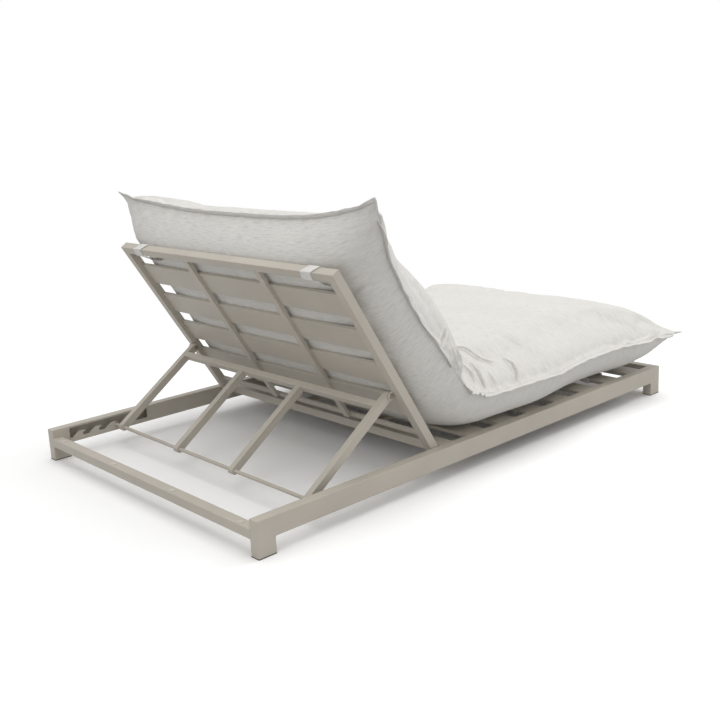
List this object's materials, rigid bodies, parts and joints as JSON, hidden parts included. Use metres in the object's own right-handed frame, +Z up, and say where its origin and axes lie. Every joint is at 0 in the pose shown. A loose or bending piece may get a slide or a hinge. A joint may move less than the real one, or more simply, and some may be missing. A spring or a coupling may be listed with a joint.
{
  "type": "double chaise lounger",
  "caption": "Low slatted double sun lounger with a hinged backrest, a ratchet prop frame and one thick pillow mattress folded at the hinge",
  "frame": {"origin": "on the floor, midway between the two sides and midway along the whole length with the mattress", "axes": "+X to the right as seen by someone who stands at the head end and faces the foot end, across the width; +Y from the head end to the foot end; +Z up"},
  "size_m": [1.3472, 2.0449, 0.8998],
  "materials": {
    "frame_coat": "satin",
    "cushion_fabric": "matte",
    "strap_fabric": "matte",
    "glide_plastic": "matte",
    "pad_rubber": "satin",
    "bolt_steel": "satin"
  },
  "bodies": {
    "frame": {"rail_right": "frame_coat", "rail_left": "frame_coat", "ratchet_rack_right": "frame_coat", "ratchet_rack_left": "frame_coat", "post_head_right": "frame_coat", "post_head_left": "frame_coat", "post_foot_right": "frame_coat", "post_foot_left": "frame_coat", "glides": "glide_plastic", "head_rail": "frame_coat", "head_pads": "pad_rubber", "mid_rail": "frame_coat", "foot_rail": "frame_coat", "seat_slat_1": "frame_coat", "seat_slat_2": "frame_coat", "seat_slat_3": "frame_coat", "seat_slat_4": "frame_coat", "seat_slat_5": "frame_coat", "seat_slat_6": "frame_coat", "seat_slat_7": "frame_coat", "seat_rib_right": "frame_coat", "seat_rib_left": "frame_coat", "hinge_bolts": "bolt_steel", "hinge_nuts": "bolt_steel", "hinge_washers": "bolt_steel", "seat_cushion": "cushion_fabric", "seat_strap_right": "strap_fabric", "seat_strap_left": "strap_fabric"},
    "backrest": {"stile_right": "frame_coat", "stile_left": "frame_coat", "back_top_rail": "frame_coat", "back_bottom_bar": "frame_coat", "back_slat_1": "frame_coat", "back_slat_2": "frame_coat", "back_slat_3": "frame_coat", "back_slat_4": "frame_coat", "back_rib_right": "frame_coat", "back_rib_left": "frame_coat", "prop_tab_right": "frame_coat", "prop_tab_left": "frame_coat", "prop_bolts": "bolt_steel", "prop_nuts": "bolt_steel", "prop_washers": "bolt_steel", "back_cushion": "cushion_fabric", "back_strap_right": "strap_fabric", "back_strap_left": "strap_fabric"},
    "prop": {"prop_leg_outer_right": "frame_coat", "prop_leg_outer_left": "frame_coat", "prop_leg_inner_right": "frame_coat", "prop_leg_inner_left": "frame_coat", "prop_cross_rail": "frame_coat", "prop_rod": "frame_coat"}
  },
  "joints": [
    {"name": "backrest_hinge", "type": "hinge", "parent": "frame", "child": "backrest", "pos_m": [0, -0.2891, 0.096], "axis": [1, 0, 0], "range_deg": [0, 58.15]},
    {"name": "prop_hinge", "type": "hinge", "parent": "backrest", "child": "prop", "pos_m": [0, -0.44779, 0.30445], "axis": [1, 0, 0], "range_deg": [-93.5, 0]}
  ],
  "couplings": [
    {"joint": "prop_hinge", "follows": "backrest_hinge", "ratio": -1.6051}
  ]
}
